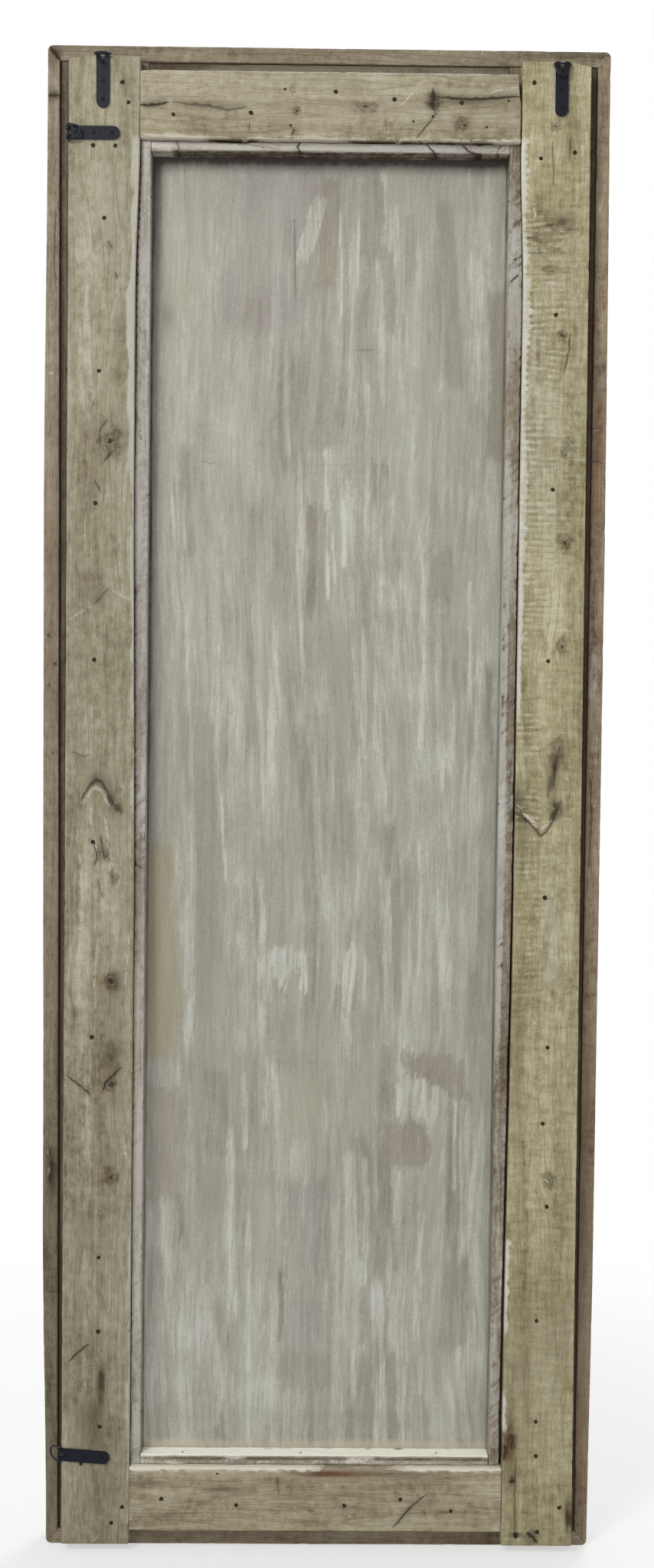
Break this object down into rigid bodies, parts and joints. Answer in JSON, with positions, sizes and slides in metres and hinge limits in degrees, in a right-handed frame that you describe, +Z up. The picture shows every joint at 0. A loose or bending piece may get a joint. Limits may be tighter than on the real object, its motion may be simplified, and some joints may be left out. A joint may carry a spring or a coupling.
{
  "type": "wall mirror",
  "caption": "Full-length wall mirror in a rustic timber frame with mitred edging, its glass held by a backing panel and pinned beads, and hinged wire rings on strap hangers behind.",
  "frame": {"origin": "middle of the underside of the bottom edge, at half the depth of the edge band", "axes": "+Z up along the height, +Y out of the back towards the wall, +X to the left as seen from behind; the glass faces -Y"},
  "size_m": [0.7, 0.0726, 1.9],
  "materials": {
    "edge_wood": "worn, rough sawn, grey brown",
    "face_wood": "worn, lightly waxed",
    "back_wood": "bare, weathered, olive tan",
    "bead_wood": "rough sawn, thin white wash",
    "panel_wood": "grey wash, brushed",
    "mirror_glass": "silvered glass",
    "strap_metal": "blue-black, satin",
    "ring_wire": "blue-black wire, satin",
    "screw_metal": "black, satin",
    "nail_iron": "dark, lightly rusted"
  },
  "bodies": {
    "frame": {"edge_band_top": "edge_wood", "edge_band_bottom": "edge_wood", "edge_band_left": "edge_wood", "edge_band_right": "edge_wood", "face_stile_left": "face_wood", "face_stile_right": "face_wood", "face_rail_top": "face_wood", "face_rail_bottom": "face_wood", "back_stile_left": "back_wood", "back_stile_right": "back_wood", "back_rail_top": "back_wood", "back_rail_bottom": "back_wood", "bead_top": "bead_wood", "bead_bottom": "bead_wood", "bead_left": "bead_wood", "bead_right": "bead_wood", "backing_panel": "panel_wood", "mirror_glass": "mirror_glass", "hanger_strap_top_left": "strap_metal", "hanger_strap_top_right": "strap_metal", "hanger_strap_side_upper": "strap_metal", "hanger_strap_side_lower": "strap_metal", "hanger_screws": "screw_metal", "frame_nails": "nail_iron", "rail_brads": "nail_iron", "bead_pins": "nail_iron", "edge_brads": "nail_iron"},
    "ring_top_left": {"hanger_ring_top_left": "ring_wire"},
    "ring_top_right": {"hanger_ring_top_right": "ring_wire"},
    "ring_side_upper": {"hanger_ring_side_upper": "ring_wire"},
    "ring_side_lower": {"hanger_ring_side_lower": "ring_wire"}
  },
  "joints": [
    {"name": "ring_top_left_hinge", "type": "hinge", "parent": "frame", "child": "ring_top_left", "pos_m": [0.27826, 0.03818, 1.8801], "axis": [1, 0, 0], "range_deg": [-64, 151]},
    {"name": "ring_top_right_hinge", "type": "hinge", "parent": "frame", "child": "ring_top_right", "pos_m": [-0.28595, 0.03818, 1.876], "axis": [1, 0, 0], "range_deg": [-7, 163]},
    {"name": "ring_side_upper_hinge", "type": "hinge", "parent": "frame", "child": "ring_side_upper", "pos_m": [0.32143, 0.03818, 1.78555], "axis": [0, 0, -1], "range_deg": [-7, 198]},
    {"name": "ring_side_lower_hinge", "type": "hinge", "parent": "frame", "child": "ring_side_lower", "pos_m": [0.32879, 0.03818, 0.12775], "axis": [0.0785, 0, -0.9969], "range_deg": [-210, 30]}
  ]
}
